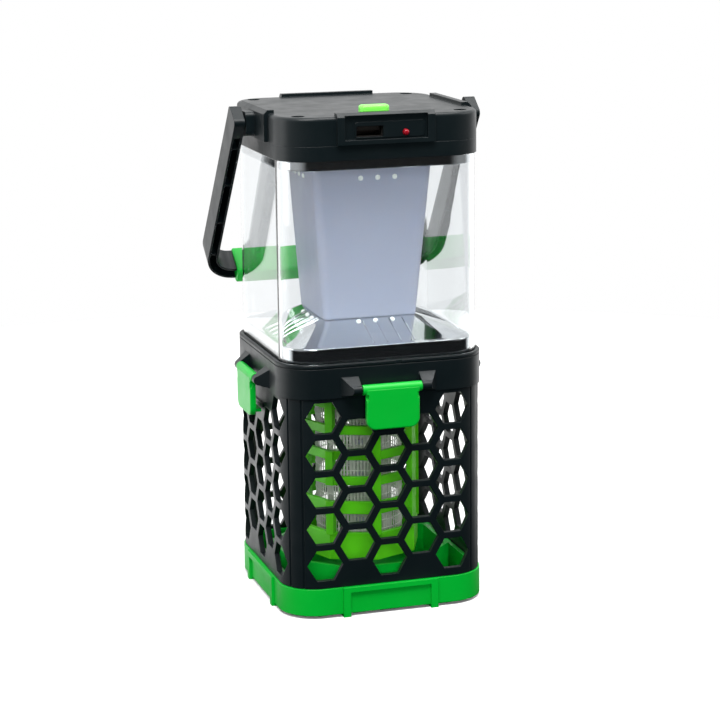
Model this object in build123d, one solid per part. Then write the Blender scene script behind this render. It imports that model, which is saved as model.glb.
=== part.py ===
from build123d import *
import math
import os

# Camping lantern with an insect-killing chamber, in millimetres.
# Z is up, -Y is the front with the charging socket, and the origin is on the floor in the middle.

# ---------------------------------------------------------------- driving dimensions
OCTAGON_SIDES = 8
FLAT_TO_CORNER = math.cos(math.pi / OCTAGON_SIDES)

BODY_HALF = 50.0            # half width of the cage's outer wall
BODY_CORNER = 17.5          # its corner radius in plan
BODY_GAP = 0.3              # parting gap between pieces that lift apart

# base tray
TRAY_HALF = BODY_HALF + 0.7
TRAY_BOTTOM = 1.6
TRAY_TOP = 14.6
TRAY_WALL = 2.2
TRAY_FLOOR = 2.0
PAD_HALF = 52.0             # raised frame on each side of the tray
POST_CENTRE = 22.0
POST_WIDTH = 3.6
PAD_BAR = 2.6
FOOT_DEPTH = 5.0
CUP_HALF = 41.0             # eight-sided insect collecting cup inside the tray, across its flats, halved
CUP_TOP = 20.8
CUP_WALL = 1.8
SPIGOT_HALF = 46.9
SPIGOT_TOP = 17.0

# cage
CAGE_BOTTOM = TRAY_TOP + BODY_GAP
CAGE_TOP = 107.0
CAGE_WALL = 2.6
HEX_FLAT = 15.0             # honeycomb hole across its flats
HEX_COLUMN = 15.94
HEX_ROW = 17.97
HEX_FIRST = 26.13
HEX_COLUMNS = 5
CATCH_WIDTH = 16.0
CATCH_Z = 96.5
CATCH_PROUD = 0.6
GROOVE_RADIUS = 0.55
GROOVE_ANGLES = (33.0, 57.0)

# collar
COLLAR_HALF = 50.7
COLLAR_CORNER = 18.2
COLLAR_BOTTOM = CAGE_TOP + BODY_GAP
COLLAR_TOP = 123.7
COLLAR_WALL = 2.1
COLLAR_LIP = 0.35
LIP_Z = 121.9
LIP_GROOVE = 0.5
MARK_X = (3.5, 6.5)         # assembly notch in the front of the lip
DECK_BOTTOM = 108.4
DECK_TOP = 110.6
WINDOW_SEAT = 118.2
SEAT_HALF = 46.6
NECK_HALF = 46.9
NECK_BOTTOM = 105.8

# latches and the lugs that hold them
LATCH_AXIS_OUT = 55.2       # hinge axis, measured out from the centre
LATCH_AXIS_Z = 111.5
BARREL_RADIUS = 2.4
BARREL_WIDTH = 29.0
PIN_RADIUS = 1.0
PIN_PLAY = 0.06
FLAP_WIDTH = 26.0
FLAP_BOTTOM = 92.4
FLAP_INNER = 55.0
FLAP_OUTER = 57.8
FLAP_CORNER = 4.5
FLAP_EDGE = 0.7
NOTCH_RADIUS = 1.6
HOOK_Z = (0.8, 2.3)         # above the bottom of the flap
LUG_GAP = 0.35
LUG_WIDTH = 8.4
LUG_TIP_WIDTH = 4.2
LUG_TIP = 57.4
LUG_TOP = 117.9
LUG_LOW = 107.9

# lantern window, reflectors and diffuser
WINDOW_HALF = 48.5
WINDOW_CORNER = 16.0
WINDOW_WALL = 2.0
WINDOW_TOP = 218.5
SKIRT_HALF = 46.2
SKIRT_CORNER = 14.0
SKIRT_BOTTOM = 111.2
SKIRT_TOP = 130.6
SHEET = 1.0                 # thickness of the reflector sheets
DIFFUSER_BOTTOM = 139.2
DIFFUSER_TOP = 212.0
DIFFUSER_LOW_HALF = 23.2
DIFFUSER_HIGH_HALF = 29.2
DIFFUSER_CORNER = 6.0
DIFFUSER_WALL = 1.6
UPPER_SKIRT_BOTTOM = 213.8
UPPER_OPENING_HALF = 27.0

# cap
CAP_HALF = 49.3
CAP_CORNER = 17.0
CAP_SPLIT = 225.4
CAP_TOP = 238.7
CAP_WALL = 2.2
CAP_EDGE = 1.8
RIM_FLOOR = 2.0
FRAME_HALF = 23.6
FRAME_OUT = 51.1
FRAME_TOP = CAP_TOP + 1.6
FRAME_LIP = 5.0
FRAME_BEVEL = 1.9
FRAME_SIDE = 3.6
FRAME_SILL = 2.4
RECESS_TOP = CAP_TOP + 0.3
RECESS_OUT = 48.6
PLATE_X = (-14.6, 19.0)      # raised plate in the front recess, round the socket and the light
PLATE_Z = (228.4, 235.8)
PLATE_PROUD = 0.5
PLATE_CORNER = 1.2
SCREW_PLACE = (39.3, 40.6)
SCREW_RECESS = 3.15
SCREW_DEPTH = 7.0
SCREW_HEAD = 2.8
SCREW_SHANK = 1.4
COLUMN_RADIUS = 4.6

# controls and socket in the cap
USB_CENTRE = (-7.5, 231.4)
USB_SIZE = (13.0, 5.0)
USB_DEPTH = 10.3
USB_SUNK = 1.2              # behind the floor of the recess
USB_SHELL = 0.3
LED_CENTRE = (9.8, 230.5)
LED_RADIUS = 1.5
BUTTON_CENTRE = (-3.5, -42.4)
BUTTON_SIZE = (14.2, 6.2)
BUTTON_CORNER = 2.4
BUTTON_EDGE = 1.3
BUTTON_PROUD = 4.3
BUTTON_PLAY = 0.35
BUTTON_DEEP = 3.6
BUTTON_TRAVEL = 1.2
SWITCH_X = 2.3              # the switch stands beside the socket, under a leg of the button
SWITCH_HEIGHT = 2.2

# handle
PIVOT_Z = 232.4
HANDLE_TILT = 37.0          # lean from vertical, over the back
HANDLE_REACH = 101.0        # pivot to the outside of the grip bar
HANDLE_DEPTH = 13.0
EYE_TOP = 6.0               # solid end of each arm, above the pivot
EYE_CORNER = 2.5
CHANNEL_START = 3.2
ARM_INNER = (55.9, 57.9)    # at the pivot, at the bar
ARM_OUTER = (61.2, 63.2)
BAR_THICK = 6.4
HANDLE_CORNER = 15.0
HANDLE_INSIDE_CORNER = 9.0
HANDLE_WALL = 1.0
RIB_PLACES = (5.2, 12.5, 36.7, 62.2, 84.7)
RIB_THICK = 1.0
RIB_SUNK = 1.5              # below the rim of the channel
PEG_RADIUS = 3.0
PEG_PLAY = 0.08
BOSS_HALF_Y = 7.0
BOSS_Z = (226.4, 238.0)
BOSS_OUT = 55.4
GRIP_HALF = 47.0
GRIP_FRONT = 9.0
GRIP_COVER = 1.2

# killing chamber
GUARD_RADIUS = 30.6         # across the corners of the octagon, halved
GUARD_POST = 4.0
GUARD_THICK = 2.6
GUARD_BOTTOM = 20.0
GUARD_RINGS = ((42.8, 49.0), (57.25, 61.55), (69.85, 74.15), (82.45, 86.75), (95.05, 99.35))
GUARD_BASE_TOP = 33.3
GUARD_FLOOR = 1.4
GUARD_OPEN_CORNERS = (1, 5)  # these two corners have no post in every second gap
GRID_RADIUS = 21.0
GRID_WIRE = 0.5
GRID_COUNT = 40
GRID_RINGS = (28.0, 46.8, 65.7, 84.6, 102.0)
INNER_GRID_RADIUS = 15.5
INNER_GRID_COUNT = 24
UV_BOARD = (9.0, 66.0)

# inside the head
CELL_RADIUS = 7.1
CELL_LENGTH = 50.5
CELL_PITCH = 16.0
CELL_CLEAR = 0.1
HOLDER_FLOOR = 0.6
POST_HALF = 9.0
BOARD_THICK = 1.6


# ---------------------------------------------------------------- helpers
def slab(half, corner, low, high):
    """Solid rounded square between two heights."""
    return Pos(0, 0, low) * extrude(RectangleRounded(2 * half, 2 * half, corner), high - low)


def ring(half, corner, wall, low, high):
    """Rounded square tube of one wall thickness."""
    inner = max(corner - wall, 1.0)
    return slab(half, corner, low, high) - slab(half - wall, inner, low - 1, high + 1)


def block(x, y, z):
    """Box from three (low, high) pairs."""
    size = [pair[1] - pair[0] for pair in (x, y, z)]
    centre = [(pair[0] + pair[1]) / 2 for pair in (x, y, z)]
    return Pos(*centre) * Box(*size)


def rod_x(radius, low, high, y, z):
    """Round bar along X."""
    return Pos((low + high) / 2, y, z) * Rot(0, 90, 0) * Cylinder(radius, high - low)


def rod_z(radius, low, high, x=0, y=0):
    """Upright round bar."""
    return Pos(x, y, (low + high) / 2) * Cylinder(radius, high - low)


def sides(shape):
    """The same shape on all four sides of the lantern, front first."""
    return [Rot(0, 0, 90 * turn) * shape for turn in range(4)]


def frustum(low_half, low_corner, low, high_half, high_corner, high):
    """Tapered rounded square."""
    lower = Pos(0, 0, low) * RectangleRounded(2 * low_half, 2 * low_half, low_corner)
    upper = Pos(0, 0, high) * RectangleRounded(2 * high_half, 2 * high_half, high_corner)
    return loft([lower, upper])


def octagon(radius, low, high, turned=False):
    """Upright octagonal prism with a corner towards the front, or a flat if it is turned."""
    face = RegularPolygon(radius, OCTAGON_SIDES, rotation=180 / OCTAGON_SIDES if turned else 0)
    return Pos(0, 0, low) * extrude(face, high - low)


# ---------------------------------------------------------------- base
def tray():
    """Green base: walled tray on eight feet with the collecting cup in the middle."""
    corner = BODY_CORNER + TRAY_HALF - BODY_HALF
    body = ring(TRAY_HALF, corner, TRAY_WALL, TRAY_BOTTOM, TRAY_TOP)
    body += slab(TRAY_HALF, corner, TRAY_BOTTOM, TRAY_BOTTOM + TRAY_FLOOR)
    body += ring(SPIGOT_HALF, BODY_CORNER - 3, TRAY_WALL, TRAY_BOTTOM, SPIGOT_TOP)
    cup = octagon(CUP_HALF / FLAT_TO_CORNER, TRAY_BOTTOM, CUP_TOP, turned=True)
    body += cup - octagon((CUP_HALF - CUP_WALL) / FLAT_TO_CORNER, TRAY_BOTTOM - 1, CUP_TOP + 1, turned=True)
    post_low = POST_CENTRE - POST_WIDTH / 2
    post_high = POST_CENTRE + POST_WIDTH / 2
    wall_inside = TRAY_HALF - 1
    frame = block((-post_high, post_high), (-PAD_HALF, -wall_inside), (TRAY_TOP - PAD_BAR, TRAY_TOP))
    for low, high in ((-post_high, -post_low), (post_low, post_high)):
        frame += block((low, high), (-PAD_HALF, -wall_inside), (0, TRAY_TOP))
        frame += block((low, high), (-PAD_HALF, FOOT_DEPTH - PAD_HALF), (0, TRAY_BOTTOM + 1))
    for piece in sides(frame):
        body += piece
    return body


def honeycomb():
    """Prisms that cut the honeycomb holes through the front and back walls."""
    cutters = []
    vertex_radius = HEX_FLAT / math.sqrt(3)
    reach = BODY_HALF + 5
    hexagon = Plane.XZ * RegularPolygon(vertex_radius, 6)
    for column in range(HEX_COLUMNS):
        shift = column - HEX_COLUMNS // 2
        offset = 0.5 * (column % 2)
        rows = 5 - column % 2
        for row in range(rows):
            top_middle = shift == 0 and row == rows - 1
            if top_middle:
                continue
            height = HEX_FIRST + HEX_ROW * (row + offset)
            cutters.append(Pos(shift * HEX_COLUMN, 0, height) * extrude(hexagon, reach, both=True))
    return cutters


def cage():
    """Black honeycomb cage around the killing chamber, with a catch for each latch."""
    body = ring(BODY_HALF, BODY_CORNER, CAGE_WALL, CAGE_BOTTOM, CAGE_TOP)
    cutters = honeycomb()
    body -= cutters
    body -= [Rot(0, 0, 90) * cutter for cutter in cutters]
    catch = block((-CATCH_WIDTH / 2, CATCH_WIDTH / 2), (-BODY_HALF - CATCH_PROUD, -BODY_HALF + 1),
                  (CATCH_Z - 1, CATCH_Z + 1))
    for piece in sides(catch):
        body += piece
    centre = BODY_HALF - BODY_CORNER
    grooves = []
    for quarter in range(4):
        for angle in GROOVE_ANGLES:
            turn = math.radians(90 * quarter + angle)
            sign_x = 1 if math.cos(math.radians(90 * quarter + 45)) > 0 else -1
            sign_y = 1 if math.sin(math.radians(90 * quarter + 45)) > 0 else -1
            x = sign_x * centre + BODY_CORNER * math.cos(turn)
            y = sign_y * centre + BODY_CORNER * math.sin(turn)
            grooves.append(rod_z(GROOVE_RADIUS, CAGE_BOTTOM - 1, CAGE_TOP + 1, x, y))
    return body - grooves


# ---------------------------------------------------------------- head: collar and latches
def lug(side):
    """Wedge lug beside a latch on the front, side -1 left or +1 right."""
    near = BARREL_WIDTH / 2 + LUG_GAP
    wall = -COLLAR_HALF + 1
    plan = Polygon((near, wall), (near, -LUG_TIP), (near + LUG_TIP_WIDTH, -LUG_TIP),
                   (near + LUG_WIDTH, wall - 1), (near + LUG_WIDTH, wall), align=None)
    outline = extrude(plan, LUG_TOP)
    tip = (-LATCH_AXIS_OUT, LATCH_AXIS_Z)
    tip_radius = LUG_TIP - LATCH_AXIS_OUT
    web = Plane.YZ * Polygon((wall, LUG_TOP), (wall, LUG_LOW), (tip[0], tip[1] - tip_radius),
                             (tip[0] - tip_radius * 0.8, tip[1] + tip_radius * 0.6), align=None)
    profile = extrude(web, BODY_HALF, dir=(1, 0, 0)) + rod_x(tip_radius, 0, BODY_HALF, *tip)
    wedge = outline & profile
    wedge -= rod_x(PIN_RADIUS, near - 1, near + 3, *tip)
    return wedge if side > 0 else mirror(wedge, Plane.YZ)


def collar():
    """Black ring that joins the lantern to the cage, with a deck for the high-voltage board."""
    body = ring(COLLAR_HALF, COLLAR_CORNER, COLLAR_WALL, COLLAR_BOTTOM, COLLAR_TOP - COLLAR_LIP)
    body -= ring(COLLAR_HALF + 1, COLLAR_CORNER + 1, 1 + LIP_GROOVE, LIP_Z - LIP_GROOVE / 2, LIP_Z + LIP_GROOVE / 2)
    body += ring(COLLAR_HALF - 0.4, COLLAR_CORNER - 0.4, 1.2, COLLAR_TOP - 1, COLLAR_TOP)
    body += slab(COLLAR_HALF - 1, COLLAR_CORNER - 1, DECK_BOTTOM, DECK_TOP)
    body += ring(COLLAR_HALF - 1, COLLAR_CORNER - 1, COLLAR_HALF - 1 - SEAT_HALF, DECK_TOP - 1, WINDOW_SEAT)
    body += ring(NECK_HALF, BODY_CORNER - 3, 1.6, NECK_BOTTOM, DECK_BOTTOM + 1)
    body -= block(MARK_X, (-COLLAR_HALF - 1, -COLLAR_HALF + 0.5), (LIP_Z - 0.2, COLLAR_TOP + 1))
    body -= rod_z(INNER_GRID_RADIUS - 3, DECK_BOTTOM - 1, DECK_TOP + 1)
    for side in (-1, 1):
        for piece in sides(lug(side)):
            body += piece
    return body


def latch(turn):
    """Green latch flap with its hinge barrel and catch hook; turn 0 is the front."""
    flap = block((-FLAP_WIDTH / 2, FLAP_WIDTH / 2), (-FLAP_OUTER, -FLAP_INNER), (FLAP_BOTTOM, LATCH_AXIS_Z))
    lower = [edge for edge in flap.edges().filter_by(Axis.Y) if edge.center().Z < FLAP_BOTTOM + 1]
    flap = fillet(lower, FLAP_CORNER)
    outer_rim = [edge for edge in flap.edges() if edge.center().Y < -FLAP_OUTER + 0.01
                 and edge.center().Z < LATCH_AXIS_Z - 0.1]
    flap = fillet(outer_rim, FLAP_EDGE)
    notch_z = LATCH_AXIS_Z - BARREL_RADIUS - 1.2
    for side in (-1, 1):
        edge_x = side * FLAP_WIDTH / 2
        flap -= rod_x(NOTCH_RADIUS, edge_x - 1, edge_x + 1, -FLAP_OUTER, notch_z)
    half = BARREL_WIDTH / 2
    flap += rod_x(BARREL_RADIUS, -half, half, -LATCH_AXIS_OUT, LATCH_AXIS_Z)
    flap -= rod_x(PIN_RADIUS + PIN_PLAY, -half - 1, half + 1, -LATCH_AXIS_OUT, LATCH_AXIS_Z)
    hook_width = CATCH_WIDTH - 2
    hook_face = BODY_HALF + CATCH_PROUD + BODY_GAP
    flap += block((-hook_width / 2, hook_width / 2), (-FLAP_INNER - 0.5, -hook_face),
                  (FLAP_BOTTOM + HOOK_Z[0], FLAP_BOTTOM + HOOK_Z[1]))
    return Rot(0, 0, 90 * turn) * flap


def latch_pins():
    """Steel hinge pins of the four latches."""
    half = BARREL_WIDTH / 2 + LUG_GAP + 3
    pin = rod_x(PIN_RADIUS, -half, half, -LATCH_AXIS_OUT, LATCH_AXIS_Z)
    return Compound(children=sides(pin))


# ---------------------------------------------------------------- head: lantern
def window():
    """Clear square lamp window."""
    return ring(WINDOW_HALF, WINDOW_CORNER, WINDOW_WALL, WINDOW_SEAT, WINDOW_TOP)


def lower_reflector():
    """Chromed sheet: a skirt inside the window that slopes up to the diffuser."""
    top_half = DIFFUSER_LOW_HALF - 0.2
    outside = slab(SKIRT_HALF, SKIRT_CORNER, SKIRT_BOTTOM, SKIRT_TOP)
    outside += frustum(SKIRT_HALF, SKIRT_CORNER, SKIRT_TOP, top_half, DIFFUSER_CORNER, DIFFUSER_BOTTOM)
    inside = slab(SKIRT_HALF - SHEET, SKIRT_CORNER - SHEET, SKIRT_BOTTOM - 1, SKIRT_TOP - SHEET)
    inside += frustum(SKIRT_HALF - SHEET, SKIRT_CORNER - SHEET, SKIRT_TOP - SHEET,
                      top_half, DIFFUSER_CORNER, DIFFUSER_BOTTOM - SHEET)
    opening = slab(top_half - 2, DIFFUSER_CORNER - 1, SKIRT_TOP, DIFFUSER_BOTTOM + 1)
    return outside - inside - opening


def upper_reflector():
    """Chromed shallow pan under the cap, around the diffuser's head."""
    pan = ring(SKIRT_HALF, SKIRT_CORNER, SHEET, UPPER_SKIRT_BOTTOM, CAP_SPLIT - 6.9)
    pan += slab(SKIRT_HALF, SKIRT_CORNER, UPPER_SKIRT_BOTTOM, UPPER_SKIRT_BOTTOM + SHEET)
    return pan - slab(UPPER_OPENING_HALF, DIFFUSER_CORNER, UPPER_SKIRT_BOTTOM - 1, UPPER_SKIRT_BOTTOM + 2)


def diffuser():
    """Milky tapered lamp cover, open at both ends, with a collar up into the cap."""
    wall = DIFFUSER_WALL
    outside = frustum(DIFFUSER_LOW_HALF, DIFFUSER_CORNER, DIFFUSER_BOTTOM,
                      DIFFUSER_HIGH_HALF, DIFFUSER_CORNER, DIFFUSER_TOP)
    inside = frustum(DIFFUSER_LOW_HALF - wall, DIFFUSER_CORNER - wall, DIFFUSER_BOTTOM - 0.01,
                     DIFFUSER_HIGH_HALF - wall, DIFFUSER_CORNER - wall, DIFFUSER_TOP - wall)
    outside += slab(UPPER_OPENING_HALF - 0.2, DIFFUSER_CORNER, DIFFUSER_TOP - 1, WINDOW_TOP)
    bore = slab(UPPER_OPENING_HALF - 2, DIFFUSER_CORNER - wall, DIFFUSER_TOP - 5, WINDOW_TOP + 1)
    return outside - inside - bore


def lamp_post():
    """Square post inside the diffuser that carries the LED strips."""
    return ring(POST_HALF, 2.0, 1.5, DECK_TOP, WINDOW_TOP)


def lamp_boards():
    """Four LED strips on the post."""
    strip = block((-7, 7), (-POST_HALF - BOARD_THICK, -POST_HALF), (DIFFUSER_BOTTOM + 3, DIFFUSER_TOP - 3))
    return Compound(children=sides(strip))


def lamp_leds():
    """Surface-mounted white LEDs on the strips."""
    face = -POST_HALF - BOARD_THICK
    leds = []
    for step in range(8):
        height = DIFFUSER_BOTTOM + 8 + 8.0 * step
        leds += sides(block((-1.4, 1.4), (face - 0.8, face), (height - 1.75, height + 1.75)))
    return Compound(children=leds)


# ---------------------------------------------------------------- head: cap
def screw_places():
    """Centres of the four cap screws."""
    return [(sx * SCREW_PLACE[0], sy * SCREW_PLACE[1]) for sx in (-1, 1) for sy in (-1, 1)]


def cap_rim():
    """Lower half of the cap, which closes the window's top."""
    rim = ring(CAP_HALF, CAP_CORNER, CAP_WALL, WINDOW_TOP, CAP_SPLIT)
    rim += slab(CAP_HALF - 1, CAP_CORNER - 1, WINDOW_TOP, WINDOW_TOP + RIM_FLOOR)
    for x, y in screw_places():
        rim += rod_z(3.2, WINDOW_TOP + 1, CAP_SPLIT, x * 0.97, y * 0.97) & slab(CAP_HALF, CAP_CORNER, 0, CAP_TOP)
        rim -= rod_z(SCREW_SHANK, WINDOW_TOP + RIM_FLOOR, CAP_SPLIT + 1, x, y)
    return rim


def side_frame(recess):
    """Raised frame on the front side of the cap, with its lip over the top edge."""
    half = FRAME_HALF
    frame = block((-half, half), (-FRAME_OUT, -CAP_HALF + 1), (CAP_SPLIT + 0.2, FRAME_TOP))
    frame += block((-half, half), (-FRAME_OUT, -FRAME_OUT + FRAME_LIP), (CAP_TOP - 1, FRAME_TOP))
    front_top = frame.edges().filter_by(Axis.X).group_by(Axis.Y)[0].sort_by(Axis.Z)[-1]
    frame = chamfer(front_top, FRAME_BEVEL)
    if recess:
        inside = half - FRAME_SIDE
        frame -= block((-inside, inside), (-FRAME_OUT - 1, -RECESS_OUT), (CAP_SPLIT + FRAME_SILL, RECESS_TOP))
    return frame


def cap():
    """Upper half of the cap: shell, four raised frames, handle bosses and openings."""
    outer = slab(CAP_HALF, CAP_CORNER, CAP_SPLIT, CAP_TOP)
    outer = fillet(outer.edges().group_by(Axis.Z)[-1], CAP_EDGE)
    shell = outer - slab(CAP_HALF - CAP_WALL, CAP_CORNER - CAP_WALL, CAP_SPLIT - 1, CAP_TOP - CAP_WALL)
    for x, y in screw_places():
        shell += rod_z(COLUMN_RADIUS, CAP_SPLIT, CAP_TOP - 1, x, y) & outer
    inside = FRAME_HALF - FRAME_SIDE
    panel = block((-inside - 1, inside + 1), (-RECESS_OUT, -RECESS_OUT + 1.8),
                  (CAP_SPLIT + FRAME_SILL - 1, CAP_TOP - 1))
    niche = block((-inside, inside), (-FRAME_OUT - 1, -RECESS_OUT), (CAP_SPLIT + FRAME_SILL, RECESS_TOP))
    plate = block(PLATE_X, (-RECESS_OUT - PLATE_PROUD, -RECESS_OUT + 1), PLATE_Z)
    plate = fillet(plate.edges().filter_by(Axis.Y), PLATE_CORNER)
    for turn in range(4):
        plain = turn % 2
        turned = Rot(0, 0, 90 * turn)
        shell += turned * side_frame(not plain)
        if plain:
            boss = block((-BOSS_HALF_Y, BOSS_HALF_Y), (-BOSS_OUT, -FRAME_OUT + 1), BOSS_Z)
            boss = fillet(boss.edges().filter_by(Axis.Y), 2.5)
            shell += turned * boss
        else:
            shell -= turned * niche
            shell += turned * panel
    shell += plate
    hole = PEG_RADIUS + PEG_PLAY
    for side in (-1, 1):
        low, high = sorted((side * (CAP_HALF - 1), side * (BOSS_OUT + 1)))
        shell -= rod_x(hole, low, high, 0, PIVOT_Z)
    for x, y in screw_places():
        shell -= rod_z(SCREW_RECESS, CAP_TOP - SCREW_DEPTH, CAP_TOP + 1, x, y)
        shell -= rod_z(SCREW_SHANK, CAP_SPLIT - 1, CAP_TOP, x, y)
    usb_half = [size / 2 for size in USB_SIZE]
    shell -= block((USB_CENTRE[0] - usb_half[0], USB_CENTRE[0] + usb_half[0]), (-FRAME_OUT, -CAP_HALF + 5),
                   (USB_CENTRE[1] - usb_half[1], USB_CENTRE[1] + usb_half[1]))
    shell -= Pos(LED_CENTRE[0], -CAP_HALF + 2, LED_CENTRE[1]) * Rot(90, 0, 0) * Cylinder(LED_RADIUS + 0.1, 8)
    shell -= button_block(BUTTON_PLAY, CAP_SPLIT, FRAME_TOP + 1)
    return shell


def button_block(grow, low, high):
    """Rounded block on the button's place, grown on every side in plan."""
    face = RectangleRounded(BUTTON_SIZE[0] + 2 * grow, BUTTON_SIZE[1] + 2 * grow, BUTTON_CORNER + grow)
    return Pos(BUTTON_CENTRE[0], BUTTON_CENTRE[1], low) * extrude(face, high - low)


def power_button():
    """Green push button in the cap's top, with the leg that works the switch."""
    low = CAP_TOP - BUTTON_DEEP
    body = button_block(0, low, CAP_TOP + BUTTON_PROUD)
    body = fillet(body.edges().group_by(Axis.Z)[-1], BUTTON_EDGE)
    body += button_block(1.0, low, low + 1)
    leg_low = CAP_SPLIT + BOARD_THICK + SWITCH_HEIGHT + BUTTON_TRAVEL + BODY_GAP
    y = BUTTON_CENTRE[1]
    return body + block((SWITCH_X - 1.2, SWITCH_X + 1.2), (y - 1.5, y + 1.5), (leg_low, low + 0.5))


def tact_switch():
    """Switch under the power button's leg."""
    low = CAP_SPLIT + BOARD_THICK
    y = BUTTON_CENTRE[1]
    body = block((SWITCH_X - 2.6, SWITCH_X + 2.6), (y - 1.8, y + 2.6), (low, low + SWITCH_HEIGHT - 0.6))
    return body + rod_z(1.1, low, low + SWITCH_HEIGHT, SWITCH_X, y)


def main_board():
    """Control and charging board across the cap."""
    return block((-33, 33), (-45, -28), (CAP_SPLIT, CAP_SPLIT + BOARD_THICK))


def usb_socket():
    """Charging socket: metal shell with its tongue."""
    half = [size / 2 - 0.05 for size in USB_SIZE]
    x, z = USB_CENTRE
    front = -RECESS_OUT + USB_SUNK
    shell = block((x - half[0], x + half[0]), (front, front + USB_DEPTH), (z - half[1], z + half[1]))
    wall = USB_SHELL
    shell -= block((x - half[0] + wall, x + half[0] - wall), (front - 1, front + USB_DEPTH - 1),
                   (z - half[1] + wall, z + half[1] - wall))
    tongue = block((x - 5.4, x + 5.4), (front + 1, front + USB_DEPTH - 0.5), (z + 0.3, z + half[1] - wall))
    return shell + tongue


def charge_led():
    """Red charging light."""
    front = -RECESS_OUT - 0.9
    lens = Pos(LED_CENTRE[0], front, LED_CENTRE[1]) * Sphere(LED_RADIUS)
    barrel = Pos(LED_CENTRE[0], front + 2.5, LED_CENTRE[1]) * Rot(90, 0, 0) * Cylinder(LED_RADIUS, 5)
    flange = Pos(LED_CENTRE[0], front + 5, LED_CENTRE[1]) * Rot(90, 0, 0) * Cylinder(LED_RADIUS + 0.3, 1)
    return lens + barrel + flange


def cap_screws():
    """Screws at the bottom of the four recesses."""
    head_low = CAP_TOP - SCREW_DEPTH
    screws = []
    for x, y in screw_places():
        screw = rod_z(SCREW_HEAD, head_low, head_low + 2.0, x, y)
        screw += rod_z(SCREW_SHANK - 0.05, WINDOW_TOP + RIM_FLOOR + 0.5, head_low, x, y)
        for turn in (0, 90):
            screw -= Pos(x, y, head_low + 2) * Rot(0, 0, turn) * Box(3.2, 0.7, 1.6)
        screws.append(screw)
    return Compound(children=screws)


def cells(grow):
    """Two cylinders lying side by side across the cap, where the battery cells are."""
    height = WINDOW_TOP + RIM_FLOOR + HOLDER_FLOOR + CELL_RADIUS + CELL_CLEAR
    lying = Rot(0, 90, 0) * Cylinder(CELL_RADIUS + grow, CELL_LENGTH + 2 * grow)
    return [Pos(0, side * CELL_PITCH / 2, height) * lying for side in (-1, 1)]


def battery():
    """Lithium cells lying across the cap."""
    return Compound(children=cells(0))


def battery_holder():
    """Cradle under the cells."""
    low = WINDOW_TOP + RIM_FLOOR
    half_y = CELL_PITCH / 2 + CELL_RADIUS + 1
    half_x = CELL_LENGTH / 2 + 2
    cradle = block((-half_x, half_x), (-half_y, half_y), (low, low + 5))
    return cradle - cells(CELL_CLEAR)


# ---------------------------------------------------------------- head: killing chamber
def guard():
    """Green octagonal finger guard of posts and rings."""
    inner = GUARD_RADIUS - GUARD_THICK
    body = octagon(GUARD_RADIUS, GUARD_BOTTOM, GUARD_BASE_TOP)
    body -= octagon(inner, GUARD_BOTTOM + GUARD_FLOOR, GUARD_BASE_TOP + 1)
    for low, high in GUARD_RINGS:
        hoop = octagon(GUARD_RADIUS - 0.5, low, high)
        body += hoop - octagon(inner, low - 1, high + 1)
    gaps_low = [GUARD_BASE_TOP - 1] + [low for low, high in GUARD_RINGS]
    gaps_high = [high for low, high in GUARD_RINGS] + [DECK_BOTTOM]
    for number, (low, high) in enumerate(zip(gaps_low, gaps_high)):
        post = block((inner - 0.6, GUARD_RADIUS), (-GUARD_POST / 2, GUARD_POST / 2), (low, high))
        for corner in range(OCTAGON_SIDES):
            left_out = corner in GUARD_OPEN_CORNERS and number % 2 == 1
            if not left_out:
                body += Rot(0, 0, 360 / OCTAGON_SIDES * corner) * post
    hub = rod_z(INNER_GRID_RADIUS - 4, GUARD_BOTTOM, GUARD_BOTTOM + 3)
    body += hub
    slot = block((INNER_GRID_RADIUS - 3, GRID_RADIUS - 2.2), (-2.5, 2.5), (GUARD_BOTTOM - 1, GUARD_BOTTOM + 5))
    for corner in range(OCTAGON_SIDES):
        body -= Rot(0, 0, 360 / OCTAGON_SIDES * (corner + 0.5)) * slot
    return body


def grid(radius, count, rings, low, high):
    """Round electrode of upright wires held by flat hoops."""
    body = None
    for height in rings:
        hoop = rod_z(radius + GRID_WIRE + 0.1, height - 0.6, height + 0.6)
        hoop -= rod_z(radius - GRID_WIRE - 0.1, height - 2, height + 2)
        body = hoop if body is None else body + hoop
    wires = []
    for step in range(count):
        turn = 2 * math.pi * step / count
        wires.append(rod_z(GRID_WIRE, low, high, radius * math.cos(turn), radius * math.sin(turn)))
    return body + wires


def uv_board():
    """Upright board in the middle that carries the violet LEDs."""
    width, height = UV_BOARD
    low = GUARD_BOTTOM + 3
    return block((-width / 2, width / 2), (-BOARD_THICK / 2, BOARD_THICK / 2), (low, low + height))


def uv_leds():
    """Violet LEDs on both faces of the board."""
    leds = []
    for side in (-1, 1):
        for step in range(7):
            near = side * BOARD_THICK / 2
            far = side * (BOARD_THICK / 2 + 1.6)
            height = GUARD_BOTTOM + 12 + 8.0 * step
            leds.append(block((-1.75, 1.75), (min(near, far), max(near, far)), (height - 1.4, height + 1.4)))
    return Compound(children=leds)


def uv_socket():
    """Insulating holder that hangs the violet lamp board from the deck."""
    width, height = UV_BOARD
    low = GUARD_BOTTOM + 3 + height
    body = rod_z(INNER_GRID_RADIUS - 3.2, low - 4, DECK_TOP)
    body -= block((-width / 2, width / 2), (-BOARD_THICK / 2, BOARD_THICK / 2), (low - 5, low))
    return body


def hv_board():
    """High-voltage board on the collar's deck, around the lamp post."""
    board = block((-38, 38), (-36, 36), (DECK_TOP, DECK_TOP + BOARD_THICK))
    return board - slab(POST_HALF + 4, 2, DECK_TOP - 1, DECK_TOP + 3)


def hv_transformer():
    """Step-up transformer: core and winding."""
    low = DECK_TOP + BOARD_THICK
    core = block((-34, -20), (-8, 8), (low, low + 3)) + block((-34, -20), (-8, 8), (low + 9, low + 12))
    return core + rod_z(5.5, low, low + 12, -27, 0)


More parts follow.
